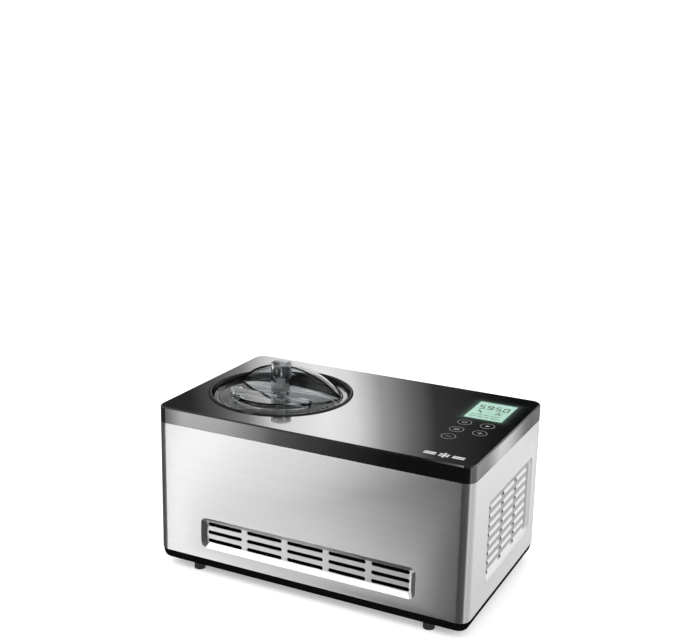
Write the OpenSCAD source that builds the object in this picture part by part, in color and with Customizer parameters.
/* [Body] */
// Length of the machine from left to right
body_l = 425; // [420:1:440]
// Depth of the machine from front to back
body_d = 258; // [256:1:270]
// Height of the deck above the table
body_h = 218; // [218:1:222]
// Radius of the upright corners
corner_r = 14; // [10:1:18]
// Height of the rubber feet
foot_h = 11; // [10:0.5:12]
// Height at which the steel housing begins
steel_z = 24; // [22:1:26]
// Depth of the black deck cover
deck_h = 20.8; // [20:0.1:22]
// Thickness of the steel sheet
sheet_t = 0.8; // [0.6:0.1:1.2]

/* [Bowl] */
// Radius of the bowl's body under its lip
bowl_r = 73.75; // [72:0.25:74]
// Radius of the bowl's body at the floor
bowl_foot_r = 70; // [68:0.5:71]
// Height of the bowl
bowl_h = 104; // [102:1:105]
// Wall of the bowl
bowl_t = 1.5; // [1.2:0.1:2]
// Height of the bail's arch above its pivots
bail_h = 77; // [74:0.5:77]
// Radius of the bail's wire
wire_r = 1.5; // [1.2:0.1:1.6]

/* [Lid] */
// Radius of the lid
lid_r = 87; // [85:0.5:88]
// Wall of the lid
lid_t = 2; // [1.8:0.1:2.2]
// Height of the lid's skirt
skirt_h = 9.5; // [9:0.5:10]
// Rise of the lid's deck at its centre
deck_rise = 8; // [7:0.5:9]
// Rise of the raised dome above the skirt
dome_rise = 38; // [36:0.5:39]
// Outer radius of the knob
knob_r = 13.35; // [13.35:0.05:13.5]

/* [Display] */
// Width of the display window
window_w = 50; // [46:1:52]
// Depth of the display window
window_d = 66; // [60:1:67]
// Radius of a key
key_r = 9.4; // [9:0.1:9.5]
// Travel of a key
key_travel = 0.5; // [0.4:0.1:0.6]

/* [Drive] */
// Teeth on the motor's pinion
motor_teeth = 14; // [14:1:14]
// Teeth on the large wheel of the compound gear
wheel_teeth = 56; // [56:1:56]
// Teeth on the small pinion of the compound gear
small_teeth = 16; // [16:1:16]
// Teeth on the output gear
output_teeth = 64; // [64:1:64]
// Module of the first gear pair
first_module = 0.8; // [0.8:0.1:0.8]
// Module of the second gear pair
second_module = 1; // [1:0.1:1]

/* [Vents] */
// Slots across the front vent
slot_columns = 5; // [3:1:5]
// Slots up the front vent
slot_rows = 3; // [2:1:3]
// Louvres across the side vent
louvre_columns = 3; // [2:1:3]
// Louvres up the side vent
louvre_rows = 8; // [4:1:8]
// Depth of the pressed vent panels
press_d = 3.5; // [3:0.5:4]

/* [Hidden] */
$fn = 48;

eps = 0.01;

// The upright axis of the bowl, paddle and lid
axis_x = -102.5;
axis_y = -4;

front_y = -body_d / 2;
back_y = body_d / 2;
side_x = body_l / 2;
deck_z = body_h;
seam_z = deck_z - deck_h;
pan_floor_t = 3;
pan_top_z = foot_h + pan_floor_t;
pan_lip_z = 34;
boss_top_z = pan_top_z + 4;

foot_r = 7.25;
foot_x = 160.5;
foot_y = 112.5;
stud_r = 3.9;

// The round opening of the deck, from its rim down to the freezing well
opening_r = 91.4;
ledge_z = deck_z - 14;
collar_r = 81.5;
well_rim_z = 183;
well_r = 75.2;
well_t = 1.5;
well_floor_z = 80;
hub_hole_r = 12;
coil_tube_r = 4;
coil_turns = 7;
coil_pitch = 12;
coil_low_z = 92;
coil_r = well_r + well_t + coil_tube_r;
foam_r = 104;

// The bowl stands 2 mm above the floor of the well and its lip 3 mm above the well's rim
bowl_z = 82;
rim_z = bowl_z + bowl_h;
lip_r = 76.75;
bowl_edge_r = 16;
pivot_z = rim_z + 8;
lug_x = 74.4;
eye_t = 2.2;
eye_x = lug_x - 0.4 - eye_t;
arch_r = eye_x + eye_t / 2;

// Spindle and coupling
spindle_r = 4;
bush_bore_r = 4.05;
square_s = 7;
spindle_square_z = 97.2;
paddle_z = 84.5;
socket_low = 14;
socket_high = 26;

// Paddle heights above its own lowest edge
bar_low = 91;
bar_high = 97;
flange_low = 139.2;
flange_high = 142.2;
stub_top = 154;
journal_r = 4.85;

// Lid heights above the ledge that it stands on
lid_z = ledge_z + 0.3;
lid_deck_r = 82;
deck_sphere_r = (pow(lid_deck_r, 2) + pow(deck_rise, 2)) / (2 * deck_rise);
dome_r = 80;
dome_sphere_r = (pow(dome_r, 2) + pow(dome_rise, 2)) / (2 * dome_rise);
wall_base_y = 23;
wall_top_y = 11.5;
knob_h = 35.7;
knob_bore_r = 11.85;
knob_top = skirt_h + deck_rise + knob_h;
hatch_r = 66;
hatch_edge_y = -27.3;
hatch_axis_y = -25.5;
hatch_axis_z = 18.8;
hatch_low = 17.9;
hatch_t = 1.8;
notch_angle = 236;
lid_turn = 18;

// Display and keys, on the right of the deck
window_x = 165.5;
window_y = 59;
key_places = [[150.3, 5.5], [179.9, 5.5], [150.3, -22.2], [179.9, -22.2], [150.3, -49.2]];
board_z = deck_z - 14;
cover_t = 3;

// Front vent
front_vent = [0.2, 59.85, 294.9, 40.7];
slot_l = 49.5;
slot_h = 5;
slot_pitch_x = 57.1;
slot_pitch_z = 11.05;
slot_z = 60.4;

// Side vent
side_vent = [13.5, 102, 165, 104];
louvre_l = 38;
louvre_pitch_y = 48.2;
louvre_pitch_z = 11.9;
louvre_y = 11.2;
louvre_z = 102.2;
louvre_h = 6.2;
louvre_out = 1.7;
press_border = 6;

// Gear train under the well
motor_x = axis_x + 68;
idler_x = axis_x + 40;
first_z = 34;
second_z = 45.5;
case_z = 30.3;
case_top_z = 56;
pressure_angle = 20;
backlash = 0.2;
clutch_z = 62;

// Cold side and air path
compressor_x = 62;
compressor_y = 2;
condenser_x = 186;
fan_x = 152;
fan_y = 10;
fan_z = 100;
fan_r = 54;

function arc_points(x, y, r, from, to, n) =
    [for (i = [0 : n]) let (a = from + (to - from) * i / n) [x + r * cos(a), y + r * sin(a)]];

function slab_points(l, d, r, n = 8) = concat(
    arc_points(l / 2 - r, d / 2 - r, r, 0, 90, n),
    arc_points(r - l / 2, d / 2 - r, r, 90, 180, n),
    arc_points(r - l / 2, r - d / 2, r, 180, 270, n),
    arc_points(l / 2 - r, r - d / 2, r, 270, 360, n)
);

// The involute of a base circle of radius rb, at radius r, as an angle in degrees
function involute_angle(rb, r) = let (a = acos(min(1, rb / r))) tan(a) * 180 / PI - a;

// Half the angle that a tooth takes up at radius r
function half_tooth(m, teeth, r) = let (
    rp = m * teeth / 2,
    rb = rp * cos(pressure_angle),
    at_pitch = 90 / teeth - backlash / 4 / rp * 180 / PI
) at_pitch + involute_angle(rb, rp) - involute_angle(rb, max(r, rb));

function gear_points(m, teeth, steps = 4) = let (
    rp = m * teeth / 2,
    root = rp - 1.25 * m,
    tip = rp + 0.95 * m
) [
    for (i = [0 : teeth - 1]) let (a = 360 / teeth * i) each concat(
        [for (s = [0 : steps]) let (r = root + (tip - root) * s / steps, h = half_tooth(m, teeth, r))
            [r * cos(a - h), r * sin(a - h)]],
        [for (s = [steps : -1 : 0]) let (r = root + (tip - root) * s / steps, h = half_tooth(m, teeth, r))
            [r * cos(a + h), r * sin(a + h)]]
    )
];

module slab(l, d, r, z0, z1) {
    translate([0, 0, z0])
        linear_extrude(z1 - z0)
            polygon(slab_points(l, d, r));
}

module at_axis(z = 0) {
    translate([axis_x, axis_y, z])
        children();
}

module ring(r_out, r_in, z0, z1, fn = 96) {
    translate([0, 0, z0])
        difference() {
            cylinder(r = r_out, h = z1 - z0, $fn = fn);
            translate([0, 0, -1])
                cylinder(r = r_in, h = z1 - z0 + 2, $fn = fn);
        }
}

module rod(r, z0, z1, fn = 48) {
    translate([0, 0, z0])
        cylinder(r = r, h = z1 - z0, $fn = fn);
}

module block(low, high) {
    translate(low)
        cube(high - low);
}

module corners(x, y) {
    for (sx = [-1, 1], sy = [-1, 1])
        translate([sx * x, sy * y, 0])
            children();
}

// A plate in the XZ plane with round corners, standing at y = 0 and reaching to y = depth
module round_plate(w, h, r, depth) {
    rotate([90, 0, 0])
        translate([0, 0, -depth])
            linear_extrude(depth)
                polygon(slab_points(w, h, r));
}

// A pressed panel: wide at the outer face (y = 0), narrower by the border at the given depth
module press_form(w, h, r, depth, border) {
    hull() {
        translate([0, -0.5, 0])
            round_plate(w, h, r, 0.6);
        translate([0, depth - 0.1, 0])
            round_plate(w - 2 * border, h - 2 * border, r - border / 2, 0.1);
    }
}

module vent_slot(l, h, depth) {
    rotate([90, 0, 0])
        translate([0, 0, -depth])
            linear_extrude(2 * depth)
                polygon(slab_points(l, h, h / 2 - eps));
}

// One pressed louvre in the XZ plane: a hood that starts at the top and stands out below
module louvre_hood(l, h, out) {
    translate([-l / 2, 0, 0])
        rotate([90, 0, 90])
            linear_extrude(l)
                polygon([[0.9, h / 2 + 0.8], [-out, -h / 2], [-out + 0.9, -h / 2], [0.9, h / 2 - 0.8]]);
    for (side = [0, 1])
        translate([side * (l - 0.8) - l / 2, 0, 0])
            rotate([90, 0, 90])
                linear_extrude(0.8)
                    polygon([[0.8, h / 2 + 0.6], [0.1 - out, -h / 2], [0.8, -h / 2]]);
}

module base_pan() {
    color([0.06, 0.06, 0.065])
        difference() {
            union() {
                hull() {
                    slab(body_l - 12, body_d - 12, corner_r - 5, foot_h, foot_h + 1);
                    slab(body_l - 2, body_d - 2, corner_r - 1, steel_z - 4.5, steel_z - 0.2);
                }
                slab(body_l - 2 * sheet_t - 0.6, body_d - 2 * sheet_t - 0.6, corner_r - 1.2,
                    steel_z - 1, pan_lip_z);
            }
            difference() {
                slab(body_l - 17, body_d - 17, corner_r - 7, pan_top_z, pan_lip_z + 1);
                corners(foot_x, foot_y)
                    rod(8, pan_top_z - 1, boss_top_z);
            }
            corners(foot_x, foot_y)
                rod(stud_r + 0.05, foot_h - 1, pan_top_z + 6);
            for (i = [-4 : 4])
                translate([compressor_x + 14 * i, 0, foot_h - 1])
                    linear_extrude(pan_floor_t + 2)
                        polygon(slab_points(6, 60, 2.9));
            for (sx = [-1, 1])
                translate([sx * 62 + axis_x + 34, 60, foot_h - 1])
                    linear_extrude(pan_floor_t + 2)
                        polygon(slab_points(40, 6, 2.9));
        }
}

module feet() {
    color([0.09, 0.09, 0.09])
        corners(foot_x, foot_y) {
            rod(foot_r, 0, foot_h - eps);
            rod(stud_r, foot_h - 1, boss_top_z + 0.3);
            ring(stud_r + 1.8, stud_r - 1, boss_top_z + 0.05, boss_top_z + 1.6);
        }
}

module front_vent_place() {
    translate([front_vent[0], front_y, front_vent[1]])
        children();
}

module side_vent_place() {
    translate([side_x, side_vent[0], side_vent[1]])
        rotate([0, 0, 90])
            children();
}

module housing_wrap() {
    color([0.78, 0.78, 0.78]) {
        difference() {
            slab(body_l, body_d, corner_r, steel_z, seam_z - 0.1);
            slab(body_l - 2 * sheet_t, body_d - 2 * sheet_t, corner_r - sheet_t, steel_z - 1, seam_z + 1);
            front_vent_place()
                press_form(front_vent[2], front_vent[3], 8, press_d, press_border);
            side_vent_place()
                press_form(side_vent[2], side_vent[3], 8, press_d, press_border);
            // Rear air outlet and the hole for the mains inlet
            for (i = [-2 : 2], k = [0 : 5])
                translate([-20 + i * 38, back_y, 70 + k * 12])
                    vent_slot(30, 4, 4);
            block([146.2, back_y - 3, 44.2], [175.8, back_y + 3, 65.8]);
        }
        difference() {
            front_vent_place()
                press_form(front_vent[2] + 1.6, front_vent[3] + 1.6, 8, press_d + sheet_t, press_border);
            front_vent_place()
                press_form(front_vent[2], front_vent[3], 8, press_d, press_border);
            block([-side_x, front_y - 2, 0], [side_x, front_y, body_h]);
            for (i = [0 : slot_columns - 1], k = [0 : slot_rows - 1])
                translate([(i - (slot_columns - 1) / 2) * slot_pitch_x, front_y,
                    slot_z + (k - (slot_rows - 1) / 2) * slot_pitch_z])
                    vent_slot(slot_l, slot_h, 8);
        }
        difference() {
            side_vent_place()
                press_form(side_vent[2] + 1.6, side_vent[3] + 1.6, 8, press_d + sheet_t, press_border);
            side_vent_place()
                press_form(side_vent[2], side_vent[3], 8, press_d, press_border);
            block([side_x, -body_d, 0], [side_x + 2, body_d, body_h]);
            louvre_places()
                translate([0, press_d + 2, -1.2])
                    cube([louvre_l - 2, 8, louvre_h - 2], center = true);
        }
        louvre_places()
            translate([0, press_d, -0.2])
                louvre_hood(louvre_l, louvre_h, louvre_out);
    }
}

module louvre_places() {
    for (i = [0 : louvre_columns - 1], k = [0 : louvre_rows - 1])
        translate([side_x, louvre_y + (i - (louvre_columns - 1) / 2) * louvre_pitch_y,
            louvre_z + (k - (louvre_rows - 1) / 2) * louvre_pitch_z])
            rotate([0, 0, 90])
                children();
}

module top_cover() {
    color([0.03, 0.03, 0.035])
        difference() {
            hull() {
                slab(body_l, body_d, corner_r, seam_z, deck_z - 1.6);
                slab(body_l - 3.2, body_d - 3.2, corner_r - 1.6, deck_z - 1, deck_z);
            }
            difference() {
                slab(body_l - 5, body_d - 5, corner_r - 2.5, seam_z - 1, deck_z - cover_t);
                for (p = screw_places())
                    translate([p[0], p[1], 0])
                        rod(4, seam_z - 2, deck_z);
            }
            at_axis()
                rod(opening_r, seam_z - 2, deck_z + 1, 120);
            translate([window_x, window_y, deck_z - 1.2])
                linear_extrude(3)
                    polygon(slab_points(window_w + 0.2, window_d + 0.2, 2));
            translate([window_x, window_y, deck_z - 6])
                linear_extrude(8)
                    polygon(slab_points(window_w - 4, window_d - 4, 1.5));
            for (p = key_places)
                translate([p[0], p[1], 0])
                    rod(key_r + 0.15, seam_z, deck_z + 1);
            for (p = screw_places())
                translate([p[0], p[1], 0])
                    rod(1.45, seam_z - 3, deck_z - 5);
        }
}

function screw_places() = [
    for (sx = [-1, 1], sy = [-1, 1]) [sx * (side_x - 9), sy * (back_y - 9)]
];

// The black collar that lines the opening, with its ledge and three bayonet hooks
module deck_collar() {
    color([0.05, 0.05, 0.055])
        at_axis() {
            rotate_extrude($fn = 120)
                polygon([
                    [opening_r - 0.2, deck_z + 0.05], [opening_r + 3.6, deck_z + 0.05],
                    [opening_r + 3.0, deck_z + 1.1], [opening_r + 1.4, deck_z + 1.7],
                    [opening_r - 0.6, deck_z + 1.5], [opening_r - 2.4, deck_z + 0.2],
                    [opening_r - 2.4, ledge_z], [collar_r + 1.4, ledge_z],
                    [collar_r, ledge_z - 1.4], [collar_r, well_rim_z + 1.7],
                    [collar_r + 6, well_rim_z + 1.7], [collar_r + 6, ledge_z - 3],
                    [opening_r - 0.2, ledge_z - 3]
                ]);
            for (a = hook_angles())
                rotate([0, 0, a])
                    intersection() {
                        ring(opening_r - 2, opening_r - 3.6, ledge_z + 6, ledge_z + 8.6, 120);
                        block([0, -11, 0], [opening_r, 11, deck_z]);
                    }
        }
}

function hook_angles() = [44, 164, 284];

module collar_seal() {
    color([0.3, 0.3, 0.32])
        at_axis()
            ring(collar_r + 5.5, collar_r + 0.5, well_rim_z + 0.05, well_rim_z + 1.65, 120);
}

module freezing_well() {
    color([0.8, 0.8, 0.82])
        at_axis()
            difference() {
                union() {
                    rod(well_r + well_t, well_floor_z - well_t, well_rim_z, 120);
                    rod(collar_r + 6, well_rim_z - 1.2, well_rim_z, 120);
                }
                rod(well_r, well_floor_z, well_rim_z + 1, 120);
                rod(hub_hole_r, well_floor_z - 5, well_floor_z + 1);
            }
}

module evaporator_coil() {
    color([0.75, 0.42, 0.25])
        at_axis() {
            for (i = [0 : coil_turns - 1])
                translate([0, 0, coil_low_z + i * coil_pitch])
                    rotate_extrude($fn = 96)
                        translate([coil_r + 0.3, 0])
                            circle(r = coil_tube_r, $fn = 24);
            for (i = [0 : coil_turns - 2])
                rotate([0, 0, 30 * (i % 2)])
                    translate([coil_r + 0.3, 0, coil_low_z + i * coil_pitch])
                        cylinder(r = coil_tube_r - 0.6, h = coil_pitch, $fn = 24);
        }
}

module insulation() {
    color([0.93, 0.88, 0.7])
        at_axis() {
            ring(foam_r, coil_r + coil_tube_r + 0.6, 62, well_rim_z - 2, 96);
            ring(coil_r + coil_tube_r + 1, hub_hole_r + 1.5, 62, well_floor_z - well_t - 0.3, 96);
        }
}

// A shallow tray that catches drips around the drive, under the foam
module drain_tray() {
    color([0.25, 0.25, 0.27])
        at_axis()
            difference() {
                rod(foam_r + 2, 59.6, 66, 96);
                rod(foam_r + 0.5, 61.6, 67, 96);
                rod(hub_hole_r + 1, 50, 70);
            }
}

module display_window() {
    color([0.55, 0.75, 0.68, 0.5])
        translate([window_x, window_y, deck_z - 1.1])
            linear_extrude(1.2)
                polygon(slab_points(window_w, window_d, 2));
}

module display_panel() {
    color([0.55, 0.8, 0.7])
        translate([window_x, window_y, deck_z - 7])
            linear_extrude(2.4)
                polygon(slab_points(window_w, window_d, 1));
}

module control_board() {
    color([0.1, 0.35, 0.2])
        difference() {
            block([136, -66, board_z], [196, 96, board_z + 1.6]);
            for (x = [139.5, 192.5], y = [-62.5, 92.5])
                translate([x, y, 0])
                    rod(1.6, board_z - 1, board_z + 3, 24);
        }
    color([0.2, 0.2, 0.2]) {
        block([140, 32, board_z - 4], [162, 54, board_z]);
        block([170, 60, board_z - 9], [184, 86, board_z]);
    }
    color([0.2, 0.2, 0.2])
        for (x = [142, 189], y = [34, 84])
            translate([x - 1.5, y - 1.5, board_z + 1.6])
                cube([3, 3, deck_z - 7 - board_z - 1.6]);
}

module key_domes() {
    color([0.8, 0.8, 0.75])
        for (p = key_places)
            translate([p[0], p[1], board_z + 1.6]) {
                translate([-3, -3, 0])
                    cube([6, 6, 3]);
                cylinder(r = 1.8, h = 3.8, $fn = 24);
            }
}

// Keys: a disc just proud of the deck, a flange that keeps it in its hole, and a stem over the switch
module key_cap(i) {
    dome_top = board_z + 5.4;
    color([0.08, 0.08, 0.085])
        translate([key_places[i][0], key_places[i][1], 0]) {
            rod(key_r, deck_z - 4.2, deck_z + 0.25, 64);
            rod(key_r + 1.4, deck_z - 4.6, deck_z - cover_t - 0.15, 64);
            rod(2.2, dome_top + key_travel + 0.15, deck_z - 4.4, 24);
        }
}

module key_power() {
    key_cap(0);
}

module key_start() {
    key_cap(1);
}

module key_cool() {
    key_cap(2);
}

module key_longer() {
    key_cap(3);
}

module key_shorter() {
    key_cap(4);
}

module gear_case_outline(extra) {
    translate([axis_x, axis_y])
        circle(r = 36 + extra, $fn = 96);
    translate([idler_x, axis_y])
        circle(r = 27 + extra, $fn = 96);
    translate([motor_x, axis_y])
        circle(r = 11 + extra, $fn = 96);
}

module gear_case_slab(extra, z0, z1) {
    translate([0, 0, z0])
        linear_extrude(z1 - z0)
            gear_case_outline(extra);
}

function case_screws() = [
    for (a = [50, 130, 230, 310]) [axis_x + 44 * cos(a), axis_y + 44 * sin(a)]
];

module gearbox_case() {
    color([0.6, 0.6, 0.62])
        difference() {
            union() {
                gear_case_slab(2.4, case_z, case_top_z);
                for (p = case_screws()) {
                    translate([p[0], p[1], 0])
                        rod(6, pan_top_z + 0.05, case_top_z, 32);
                    hull() {
                        translate([p[0], p[1], 0])
                            rod(3, case_z, case_z + 3, 24);
                        at_axis()
                            rod(20, case_z, case_z + 3, 32);
                    }
                }
            }
            gear_case_slab(0, case_z + 2.6, case_top_z + 1);
            at_axis()
                rod(8, case_z - 1, case_top_z);
            translate([idler_x, axis_y, 0])
                rod(2.95, case_z - 1, case_top_z);
            translate([motor_x, axis_y, 0])
                rod(9, case_z - 1, case_top_z);
            for (p = case_screws())
                translate([p[0], p[1], 0])
                    rod(1.6, case_top_z - 12, case_top_z + 1, 24);
        }
}

module gearbox_cover() {
    color([0.66, 0.66, 0.68])
        difference() {
            union() {
                gear_case_slab(2.4, case_top_z + 0.05, case_top_z + 3);
                for (p = case_screws())
                    hull() {
                        translate([p[0], p[1], 0])
                            rod(6, case_top_z + 0.05, case_top_z + 3, 24);
                        at_axis()
                            rod(20, case_top_z + 0.05, case_top_z + 3, 32);
                    }
            }
            at_axis()
                rod(8, case_top_z - 2, case_top_z + 5);
            translate([idler_x, axis_y, 0])
                rod(2.95, case_top_z - 2, case_top_z + 5);
            for (p = case_screws())
                translate([p[0], p[1], 0])
                    rod(1.7, case_top_z - 2, case_top_z + 5, 24);
        }
}

module gearbox_bushes() {
    color([0.75, 0.6, 0.3])
        at_axis() {
            ring(7.95, 5.05, case_z, case_z + 6, 64);
            ring(7.95, 5.05, case_top_z + 0.1, case_top_z + 3, 64);
        }
}

module idler_pin() {
    color([0.75, 0.75, 0.77])
        translate([idler_x, axis_y, 0])
            rod(2.9, case_z, case_top_z + 3, 48);
}

module motor_stator() {
    color([0.35, 0.35, 0.37])
        translate([motor_x, axis_y, 0])
            difference() {
                union() {
                    rod(31, pan_top_z + 0.5, pan_top_z + 3, 64);
                    rod(31, case_z - 2.6, case_z - 0.1, 64);
                    for (a = [45 : 90 : 315])
                        rotate([0, 0, a])
                            translate([28.5, 0, 0])
                                rod(2.4, pan_top_z + 1, case_z - 1, 24);
                    rod(9, pan_top_z + 1, pan_top_z + 5, 32);
                }
                rod(2.6, pan_top_z - 1, case_z + 1, 32);
                rod(8, case_z - 4, case_z + 1, 32);
                rod(5, pan_top_z + 4, pan_top_z + 8, 32);
            }
}

// The rotor turns with the motor's shaft and pinion
module motor_rotor() {
    color([0.6, 0.6, 0.62])
        translate([motor_x, axis_y, 0]) {
            ring(25, 2, pan_top_z + 5.5, case_z - 3.4, 64);
            rod(2.5, pan_top_z + 1, first_z + 9, 32);
        }
}

module gear(m, teeth, z0, z1, bore) {
    translate([0, 0, z0])
        linear_extrude(z1 - z0)
            difference() {
                polygon(gear_points(m, teeth));
                circle(r = bore, $fn = 48);
            }
}

module motor_pinion() {
    color([0.75, 0.6, 0.3])
        translate([motor_x, axis_y, 0])
            gear(first_module, motor_teeth, first_z - 0.5, first_z + 8.5, 2.5 + eps);
}

// The wheel's tooth points at the output gear; the motor's pinion meets it on the far side
module compound_gear() {
    color([0.9, 0.9, 0.86])
        translate([idler_x, axis_y, 0]) {
            rotate([0, 0, 180 / wheel_teeth])
                gear(first_module, wheel_teeth, first_z, first_z + 8, 2.96);
            ring(5.6, 2.96, first_z + 7.9, second_z + 0.1, 48);
            gear(second_module, small_teeth, second_z, second_z + 9, 2.96);
        }
}

module output_gear() {
    color([0.9, 0.9, 0.86])
        at_axis()
            rotate([0, 0, 180 / output_teeth])
                difference() {
                    gear(second_module, output_teeth, second_z + 0.5, second_z + 8.5, 5.01);
                    for (a = [0 : 60 : 300])
                        rotate([0, 0, a])
                            translate([19, 0, 0])
                                rod(6, second_z - 1, second_z + 10, 32);
                }
}

module output_shaft() {
    color([0.7, 0.7, 0.72])
        at_axis()
            difference() {
                rod(5, case_z - 1, clutch_z + 4, 48);
                rod(1.5, case_z - 2, case_z + 6, 24);
            }
}

// A slotted clutch that takes the tongue of the bowl's spindle
module drive_coupling() {
    color([0.5, 0.5, 0.52])
        at_axis()
            difference() {
                union() {
                    rod(9.6, clutch_z, clutch_z + 12, 64);
                    rod(7, case_top_z + 3.4, clutch_z + 1, 48);
                }
                rod(5.01, case_top_z, clutch_z + 4.02, 48);
                block([-10, -1.75, clutch_z + 7.6], [10, 1.75, clutch_z + 13]);
            }
}

module compressor() {
    color([0.05, 0.05, 0.055])
        translate([compressor_x, compressor_y, 0]) {
            rotate_extrude($fn = 96)
                polygon(concat(
                    [[0, 27]], arc_points(34, 45, 18, 270, 360, 8),
                    [[52, 90], [54.5, 90.5], [54.5, 93.5], [52, 94]],
                    arc_points(34, 122, 18, 0, 90, 8), [[0, 140]]
                ));
            block([-62, -44, 25], [62, -38, 28]);
            block([-62, 38, 25], [62, 44, 28]);
            block([-20, -40, 25.2], [20, 40, 29]);
            translate([0, -46, 62])
                rotate([90, 0, 0])
                    cylinder(r = 13, h = 16, $fn = 48);
        }
}

module compressor_mounts() {
    color([0.12, 0.12, 0.12])
        translate([compressor_x, compressor_y, 0])
            corners(56, 41)
                difference() {
                    union() {
                        rod(8, pan_top_z + 0.05, 24.9, 32);
                        rod(5.5, 28.1, 31, 32);
                    }
                    rod(3, pan_top_z - 1, 32, 24);
                }
}

fin_count = 26;
condenser_w = 150;
condenser_low_z = 46;
condenser_high_z = 160;

module condenser_fins() {
    color([0.75, 0.75, 0.77])
        translate([condenser_x, fan_y, 0])
            for (i = [0 : fin_count - 1])
                translate([0, (i - (fin_count - 1) / 2) * condenser_w / fin_count, 0])
                    difference() {
                        block([-11, -0.25, condenser_low_z], [11, 0.25, condenser_high_z]);
                        for (k = [0 : 3])
                            translate([0, 0, condenser_low_z + 15 + 28 * k])
                                rotate([90, 0, 0])
                                    cylinder(r = 4.1, h = 4, center = true, $fn = 24);
                    }
    color([0.7, 0.7, 0.72])
        translate([condenser_x, fan_y, 0])
            for (x = [-11, 10.2])
                block([x, -condenser_w / 2, condenser_low_z],
                    [x + 0.8, condenser_w / 2, condenser_low_z + 6]);
}

module condenser_tube() {
    color([0.75, 0.42, 0.25])
        translate([condenser_x, fan_y, condenser_low_z + 15]) {
            for (k = [0 : 3])
                translate([0, 0, 28 * k])
                    rotate([90, 0, 0])
                        cylinder(r = 4, h = condenser_w + 6, center = true, $fn = 32);
            for (k = [0 : 2])
                translate([0, (k % 2 == 0 ? 1 : -1) * (condenser_w / 2 + 3), 28 * k])
                    sphere(r = 4.6, $fn = 24);
            for (k = [0 : 2])
                translate([0, (k % 2 == 0 ? 1 : -1) * (condenser_w / 2 + 3), 28 * k])
                    cylinder(r = 3.6, h = 28, $fn = 24);
            for (k = [1 : 3])
                translate([0, (k % 2 == 1 ? 1 : -1) * (condenser_w / 2 + 3), 28 * k])
                    sphere(r = 4.6, $fn = 24);
        }
}

module along_fan_axis(x) {
    translate([x, fan_y, fan_z])
        rotate([0, 90, 0])
            children();
}

module fan_shroud() {
    color([0.12, 0.12, 0.13]) {
        difference() {
            block([fan_x + 12, fan_y - 72, fan_z - 58], [fan_x + 22.5, fan_y + 72, fan_z + 60]);
            block([fan_x + 14, fan_y - 70, fan_z - 56], [fan_x + 24, fan_y + 70, fan_z + 58]);
            along_fan_axis(fan_x)
                cylinder(r = fan_r + 2, h = 20, $fn = 96);
        }
        along_fan_axis(fan_x - 8)
            ring(fan_r + 4, fan_r + 2, 0, 21, 96);
        along_fan_axis(fan_x - 8) {
            for (a = [45 : 90 : 315])
                rotate([0, 0, a])
                    translate([15, -3, 0])
                        cube([fan_r - 12, 6, 3]);
            ring(18, 12.4, 0, 3, 64);
        }
        block([fan_x + 12, fan_y - 70, pan_top_z + 0.1], [fan_x + 20, fan_y - 60, fan_z - 57]);
        block([fan_x + 12, fan_y + 60, pan_top_z + 0.1], [fan_x + 20, fan_y + 70, fan_z - 57]);
    }
}

module fan_motor() {
    color([0.3, 0.3, 0.32])
        along_fan_axis(fan_x - 22)
            difference() {
                union() {
                    cylinder(r = 19, h = 13.9, $fn = 64);
                    rod(12.3, 13, 17, 48);
                }
                rod(2.05, 5, 20, 24);
            }
}

blade_count = 5;
blade_pitch = 30;

module fan_rotor() {
    color([0.85, 0.85, 0.85])
        along_fan_axis(fan_x) {
            rod(14, -3, 11, 64);
            rod(2, -16.5, -2.9, 24);
            for (i = [0 : blade_count - 1])
                rotate([0, 0, 360 / blade_count * i])
                    translate([12, 0, 5])
                        rotate([blade_pitch, 0, 0])
                            linear_extrude(1.6, center = true)
                                polygon(concat(
                                    [[0, -6], [8, -12]], arc_points(0, 0, fan_r - 14, -24, 24, 6),
                                    [[8, 10], [0, 6]]
                                ));
        }
}

module filter_drier() {
    color([0.72, 0.4, 0.24])
        translate([112, -88, 60])
            rotate([0, 90, 0])
                rotate_extrude($fn = 48)
                    polygon([[0, 0], [3, 0], [3, 6], [9, 12], [9, 52], [3, 58], [3, 64], [0, 64]]);
}

// Round line through a list of points, one straight run to the next with a ball at each bend
module line_through(points, r) {
    for (i = [0 : len(points) - 2]) {
        a = points[i];
        b = points[i + 1];
        d = b - a;
        translate(a)
            rotate([0, acos(d[2] / norm(d)), atan2(d[1], d[0])])
                cylinder(r = r, h = norm(d), $fn = 24);
    }
    for (i = [1 : len(points) - 2])
        translate(points[i])
            sphere(r = r * 1.15, $fn = 24);
}

module refrigerant_lines() {
    color([0.75, 0.42, 0.25]) {
        line_through([[30, 2, 146], [30, 40, 152], [8, 92, 152], [axis_x + 60, 93, 150]], 2.6);
        line_through([[92, 2, 146], [104, -60, 150], [condenser_x - 26, -84, 146],
            [condenser_x, -84, 146]], 2.6);
        line_through([[condenser_x - 14, -78, 60], [179.4, -79, 60], [178.4, -88, 60]], 2);
        line_through([[110.6, -88, 60], [40, -98, 60], [-20, -112, 80], [axis_x + 40, -112, 92]], 1.2);
    }
}

module power_board() {
    color([0.1, 0.32, 0.2])
        block([24, 96, 74], [124, 97.6, 176]);
    color([0.15, 0.15, 0.16]) {
        block([32, 97.6, 120], [66, 116, 160]);
        block([78, 97.6, 140], [98, 112, 162]);
        block([104, 97.6, 96], [118, 110, 134]);
    }
    color([0.7, 0.7, 0.72])
        block([30, 97.6, 82], [70, 100.4, 108]);
    color([0.2, 0.2, 0.2])
        for (x = [28, 120], z = [78, 172])
            translate([x, 97, z])
                rotate([-90, 0, 0])
                    cylinder(r = 2.4, h = back_y - sheet_t - 97 - 0.1, $fn = 24);
}

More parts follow.
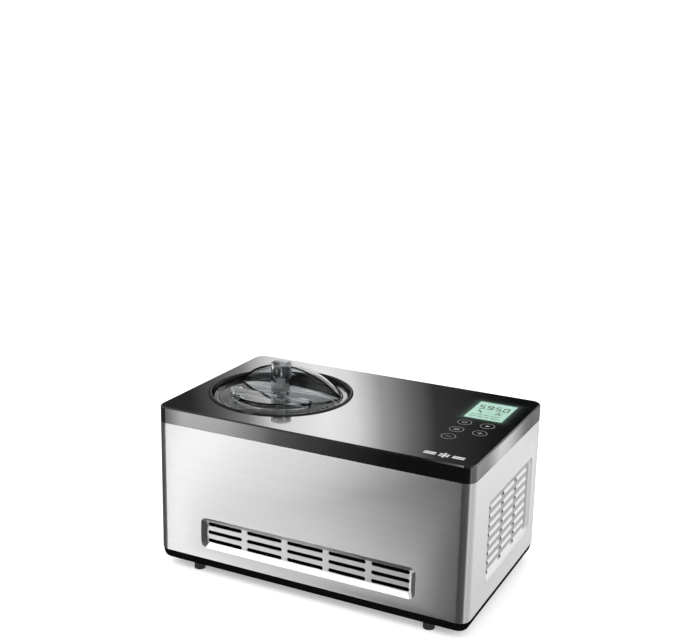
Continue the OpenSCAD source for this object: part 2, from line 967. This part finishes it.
// Mains inlet: an oblong socket with three blades, open to the back
module mains_inlet() {
    color([0.07, 0.07, 0.07])
        difference() {
            union() {
                block([146.5, 104, 44.5], [175.5, back_y + 0.5, 65.5]);
                block([140, back_y + 0.05, 42], [182, back_y + 1.2, 68]);
            }
            block([149, 112, 47], [173, back_y + 5, 63]);
        }
    color([0.8, 0.8, 0.8]) {
        block([160, 98, 56.6], [162, 122, 60.6]);
        block([153, 98, 50], [155, 122, 54]);
        block([167, 98, 50], [169, 122, 54]);
    }
}

module wiring() {
    color([0.2, 0.2, 0.22]) {
        translate([0, 82, 0])
            rotate([90, 0, 0])
                linear_extrude(16)
                    polygon([[124, 150], [124, 151], [134, 151], [134, 190], [172, 190],
                        [172, 189], [135, 189], [135, 150]]);
        line_through([[161, 95.5, 58.6], [140, 92, 62], [128, 88, 90]], 2);
        line_through([[24, 94, 90], [-12, 86, 44], [-13, 22, 20]], 2);
    }
}

module cover_screws() {
    color([0.7, 0.7, 0.72])
        for (p = screw_places())
            translate([p[0], p[1], 0]) {
                rod(1.4, seam_z - 4, deck_z - 6, 24);
                rod(3, seam_z - 6, seam_z - 4 + eps, 24);
            }
}

module base_screws() {
    color([0.7, 0.7, 0.72])
        for (p = case_screws())
            translate([p[0], p[1], 0]) {
                rod(1.5, case_top_z - 10, case_top_z + 3.2, 24);
                rod(3, case_top_z + 3.1, case_top_z + 3.55, 24);
            }
}

module bowl() {
    inner = bowl_edge_r - bowl_t;
    color([0.62, 0.62, 0.63])
        at_axis(bowl_z)
            difference() {
                rotate_extrude($fn = 120)
                    polygon(concat(
                        [[0, 0]],
                        arc_points(bowl_foot_r - bowl_edge_r, bowl_edge_r, bowl_edge_r, 270, 358, 10),
                        [[bowl_r, bowl_h - 3.4], [lip_r - 0.6, bowl_h - 2.7], [lip_r, bowl_h - 1.9],
                            [lip_r, bowl_h - 1], [lip_r - 0.9, bowl_h], [bowl_r - bowl_t, bowl_h]],
                        arc_points(bowl_foot_r - bowl_edge_r, bowl_edge_r, inner, 358, 270, 10),
                        [[0, bowl_t]]
                    ));
                rod(6.05, -1, bowl_t + 2, 48);
            }
}

module on_both_sides() {
    for (side = [0, 180])
        rotate([0, 0, side])
            children();
}

module bowl_lugs() {
    color([0.7, 0.7, 0.71])
        at_axis()
            on_both_sides()
                difference() {
                    union() {
                        translate([lug_x, 0, 0])
                            rotate([90, 0, 90])
                                linear_extrude(1.5)
                                    polygon(concat(
                                        [[-8, rim_z + 0.05], [8, rim_z + 0.05]],
                                        arc_points(0, pivot_z, 5.6, 0, 180, 12)
                                    ));
                        block([lug_x - 2.6, -8, rim_z + 0.05], [lug_x + 1.5, 8, rim_z + 1.5]);
                    }
                    translate([lug_x - 1, 0, pivot_z])
                        rotate([0, 90, 0])
                            cylinder(r = 1.55, h = 4, $fn = 32);
                }
}

module lug_rivets() {
    color([0.75, 0.75, 0.76])
        at_axis()
            on_both_sides()
                translate([0, 0, pivot_z])
                    rotate([0, 90, 0]) {
                        rod(1.5, eye_x - 0.6, lug_x + 1.6, 32);
                        rod(2.6, eye_x - 1.5, eye_x - 0.5, 32);
                    }
}

// The bail lies folded back over the rim; its arch stands up when it is turned by a quarter
module bail() {
    leg = bail_h - arch_r;
    color([0.72, 0.72, 0.73])
        at_axis(pivot_z)
            difference() {
                union() {
                    translate([0, leg, 0])
                        rotate_extrude(angle = 180, $fn = 96)
                            translate([arch_r, 0])
                                circle(r = wire_r, $fn = 24);
                    on_both_sides()
                        translate([eye_x, 0, 0])
                            rotate([0, 90, 0])
                                cylinder(r = 3.4, h = eye_t, $fn = 32);
                    for (s = [-1, 1])
                        translate([s * arch_r, 2.4, 0])
                            rotate([-90, 0, 0])
                                cylinder(r = wire_r, h = leg - 2.4, $fn = 24);
                }
                rotate([0, 90, 0])
                    cylinder(r = 1.56, h = 200, center = true, $fn = 32);
            }
}

module spindle_bush() {
    color([0.9, 0.9, 0.88])
        at_axis()
            difference() {
                union() {
                    rod(6, 78, bowl_z + bowl_t + 1, 48);
                    rod(10, bowl_z + bowl_t + 0.02, bowl_z + bowl_t + 3.5, 48);
                    rod(5.8, bowl_z + bowl_t + 3, 94, 48);
                    rod(9, 78.6, bowl_z - 0.02, 6);
                }
                rod(bush_bore_r, 70, 100, 48);
            }
}

module spindle() {
    color([0.72, 0.72, 0.74])
        at_axis() {
            rod(spindle_r, clutch_z + 12.4, spindle_square_z + 0.2, 48);
            rod(5.6, 76.2, 77.6, 48);
            block([-5.5, -1.5, clutch_z + 8], [5.5, 1.5, clutch_z + 12.6]);
            block([-square_s / 2, -square_s / 2, spindle_square_z], [square_s / 2, square_s / 2, 109.5]);
        }
}

// Paddle, measured from the axis and from its own lowest edge
scraper_start = [-66.3, -6];
scraper_angle = 57;
scraper_l = 38;
right_bar_x = 57;

module paddle() {
    color([0.95, 0.95, 0.94])
        at_axis(paddle_z)
            difference() {
                union() {
                    rod(journal_r, flange_low - 0.5, stub_top - 1.2, 48);
                    block([-3.9, -4.6, flange_high + 1.2], [3.9, 4.6, stub_top]);
                    rod(6.9, bar_low - 1, flange_low - 0.05, 48);
                    rod(3.9, 40, bar_low + 1, 48);
                    rod(6.4, 17, 41, 48);
                    paddle_bar();
                    paddle_scraper();
                    paddle_arch();
                    paddle_bottom_blade();
                    paddle_right_side();
                    paddle_vane();
                }
                block([-3.6, -3.6, socket_low - 4], [3.6, 3.6, socket_high]);
            }
}

module paddle_bar() {
    translate([0, 0, bar_low])
        linear_extrude(bar_high - bar_low)
            polygon([[-62, -2.6], [-10, -3.4], [10, -3.4], [right_bar_x + 3, -2.6],
                [right_bar_x + 3, 2.6], [10, 3.4], [-10, 3.4], [-62, 2.6]]);
}

module paddle_scraper() {
    translate([scraper_start[0], scraper_start[1], 0])
        rotate([0, 0, scraper_angle])
            rotate([90, 0, 0])
                translate([0, 0, -1.3])
                    linear_extrude(2.6)
                        polygon(concat(
                            arc_points(4, 20, 4, 180, 270, 4), [[6, 16], [30, 22]],
                            arc_points(scraper_l - 4, 27, 4, 270, 360, 4),
                            arc_points(scraper_l - 5, bar_high + 1, 5, 0, 90, 4),
                            arc_points(6, bar_high, 6, 90, 180, 4)
                        ));
}

module paddle_arch() {
    rotate([90, 0, 0])
        translate([0, 0, -7])
            linear_extrude(14)
                polygon(concat(
                    arc_points(0, 4, 15.5, 0, 180, 16), [[-15.5, 2.5], [-11.5, 2.5]],
                    arc_points(0, 4, 10.2, 180, 0, 12), [[11.5, 2.5], [15.5, 2.5]]
                ));
}

module paddle_bottom_blade() {
    translate([-55, 0, 0])
        rotate([90, 0, 90])
            linear_extrude(41)
                polygon([[-16, 0.2], [-14, 0], [3, 12], [4, 15], [0.5, 13.5], [-16, 1.6]]);
    for (x = [-44, -33])
        translate([x, 2.2, 13])
            cylinder(r = 1.5, h = 4.2, $fn = 24);
}

module paddle_right_side() {
    rotate([90, 0, 0])
        translate([0, 0, -3.2])
            linear_extrude(6.4) {
                polygon([[right_bar_x - 3.2, 8], [right_bar_x + 3, 8], [right_bar_x + 3.4, 98.4],
                    [right_bar_x - 3.2, 96]]);
                for (i = [0 : 4])
                    polygon([[right_bar_x - 3, 18 + 16 * i], [right_bar_x - 7.6, 21 + 16 * i],
                        [right_bar_x - 7, 23.6 + 16 * i], [right_bar_x - 3, 27 + 16 * i]]);
                polygon(concat([[14, 10.4], [12, 4]], [[24, 2.2], [right_bar_x, 3.2], [right_bar_x, 9.4]]));
            }
    translate([right_bar_x - 1.5, -4.4, 6.4])
        rotate([-90, 0, 0])
            cylinder(r = 5, h = 8.8, $fn = 48);
}

module paddle_vane() {
    rotate([0, 0, -18])
        rotate([90, 0, 0])
            translate([0, 0, -1.2])
                linear_extrude(2.4)
                    polygon([[0, 20], [8, 20], [15, 51], [14, 54], [11, 56], [0, 58]]);
}

module paddle_collar() {
    color([0.96, 0.96, 0.95])
        at_axis(paddle_z)
            difference() {
                union() {
                    rod(11.6, flange_low, flange_high, 64);
                    rod(8.4, flange_low + 0.5, flange_high + 1, 48);
                }
                rod(journal_r + 0.05, flange_low - 1, flange_high + 2, 48);
            }
}

// The star-shaped bush inside the knob, in which the top of the paddle turns
module lid_bush() {
    low = 36.2;
    color([0.9, 0.92, 0.93, 0.7])
        at_axis(lid_z) {
            ring(knob_bore_r - 0.1, knob_bore_r - 1.6, low, knob_top - 1.5, 64);
            rod(3.2, low + 2, knob_top - 3, 32);
            for (a = [0 : 60 : 300])
                rotate([0, 0, a])
                    block([2, -0.7, low + 2], [knob_bore_r - 1, 0.7, knob_top - 4]);
        }
}

// Everything behind the leaning wall of the raised dome, moved back by the given distance
module behind_wall(back) {
    rise = dome_rise + skirt_h;
    rotate([90, 0, 90])
        translate([0, 0, -150])
            linear_extrude(300)
                polygon([
                    [wall_base_y + back, skirt_h - 4], [wall_base_y + back, skirt_h + 5],
                    [wall_top_y + back, rise], [wall_top_y + back, rise + 20],
                    [150, rise + 20], [150, skirt_h - 4]
                ]);
}

module cap(sphere_r, rise, fn = 128) {
    translate([0, 0, skirt_h + rise - sphere_r])
        sphere(r = sphere_r, $fn = fn);
}

function frame_outline(r, back_edge, n = 28) = let (a = asin(-back_edge / r))
    arc_points(0, 0, r, 180 + a, 360 - a, n);

module lid_shell() {
    color([0.9, 0.95, 0.97, 0.35])
        at_axis(lid_z)
            difference() {
                union() {
                    ring(lid_r, lid_r - lid_t, 0, skirt_h, 120);
                    ring(lid_r - 1, lid_deck_r - 2.4, skirt_h - lid_t, skirt_h, 120);
                    difference() {
                        intersection() {
                            cap(deck_sphere_r, deck_rise);
                            rod(lid_deck_r - 0.6, skirt_h - lid_t, skirt_h + 20, 120);
                        }
                        cap(deck_sphere_r - lid_t, deck_rise - lid_t);
                    }
                    intersection() {
                        cap(dome_sphere_r, dome_rise);
                        rod(dome_r - 0.7, skirt_h - lid_t, skirt_h + 50, 120);
                        behind_wall(0);
                    }
                    translate([0, 0, skirt_h + 1])
                        linear_extrude(hatch_low - skirt_h - 1.2)
                            polygon(frame_outline(hatch_r - 1, hatch_edge_y));
                    rod(knob_r, skirt_h + deck_rise - 3, knob_top, 96);
                    hinge_posts();
                    bayonet_lugs();
                }
                intersection() {
                    cap(dome_sphere_r - lid_t, dome_rise - lid_t);
                    rod(dome_r - 3, skirt_h - lid_t - 3, skirt_h + 50, 120);
                    behind_wall(lid_t);
                }
                translate([0, 0, skirt_h - 6])
                    linear_extrude(30)
                        polygon(frame_outline(hatch_r - 3.4, hatch_edge_y - 2.6));
                rod(knob_bore_r, skirt_h - 5, knob_top + 1, 96);
                translate([0, hatch_axis_y, hatch_axis_z])
                    rotate([0, 90, 0])
                        cylinder(r = 0.85, h = 140, center = true, $fn = 24);
                for (i = [0 : 9])
                    rotate([0, 0, -62 + 5.6 * i])
                        translate([77, 0, 0])
                            rod(1.3, skirt_h - 4, skirt_h + 6, 24);
            }
}

// Three lugs outside the skirt that turn in under the collar's hooks
module bayonet_lugs() {
    for (a = hook_angles())
        rotate([0, 0, a + lid_turn])
            intersection() {
                ring(lid_r + 1.6, lid_r - 1, 1.5, 4.5, 120);
                block([0, -7, 0], [lid_r + 2, 7, 5]);
            }
}

module hinge_posts() {
    for (s = [-1, 1])
        translate([s * 52, hatch_axis_y, 0])
            rotate([90, 0, 90])
                linear_extrude(4, center = true)
                    polygon(concat([[-1.5, skirt_h], [2.6, skirt_h]],
                        arc_points(0, hatch_axis_z, 1.5, 0, 180, 10)));
}

module hatch() {
    color([0.9, 0.95, 0.97, 0.35])
        at_axis(lid_z)
            difference() {
                union() {
                    translate([0, 0, hatch_low])
                        linear_extrude(hatch_t)
                            polygon(frame_outline(hatch_r, hatch_edge_y));
                    for (s = [-1, 1])
                        translate([s * 46, 0, 0]) {
                            translate([0, hatch_axis_y, hatch_axis_z])
                                rotate([0, 90, 0])
                                    cylinder(r = 1.9, h = 7, center = true, $fn = 32);
                            block([-3.5, hatch_edge_y - 2, hatch_low + 0.1],
                                [3.5, hatch_axis_y - 0.5, hatch_low + hatch_t - 0.1]);
                        }
                }
                translate([0, hatch_axis_y, hatch_axis_z])
                    rotate([0, 90, 0])
                        cylinder(r = 0.85, h = 140, center = true, $fn = 24);
                rotate([0, 0, notch_angle])
                    translate([hatch_r + 3, 0, 0])
                        rod(9.5, hatch_low - 2, hatch_low + 5, 48);
            }
}

module hatch_pins() {
    color([0.75, 0.75, 0.77])
        at_axis(lid_z)
            for (s = [-1, 1])
                translate([s * 48.2, hatch_axis_y, hatch_axis_z])
                    rotate([0, 90, 0])
                        cylinder(r = 0.8, h = 11.4, center = true, $fn = 24);
}

base_pan();
feet();
housing_wrap();
top_cover();
deck_collar();
collar_seal();
freezing_well();
evaporator_coil();
insulation();
drain_tray();
display_window();
display_panel();
control_board();
key_domes();
key_power();
key_start();
key_cool();
key_longer();
key_shorter();
gearbox_case();
gearbox_cover();
gearbox_bushes();
idler_pin();
motor_stator();
motor_rotor();
motor_pinion();
compound_gear();
output_gear();
output_shaft();
drive_coupling();
compressor();
compressor_mounts();
condenser_fins();
condenser_tube();
fan_shroud();
fan_motor();
fan_rotor();
filter_drier();
refrigerant_lines();
power_board();
mains_inlet();
wiring();
cover_screws();
base_screws();
bowl();
bowl_lugs();
lug_rivets();
bail();
spindle_bush();
spindle();
paddle();
paddle_collar();
lid_bush();
lid_shell();
hatch();
hatch_pins();
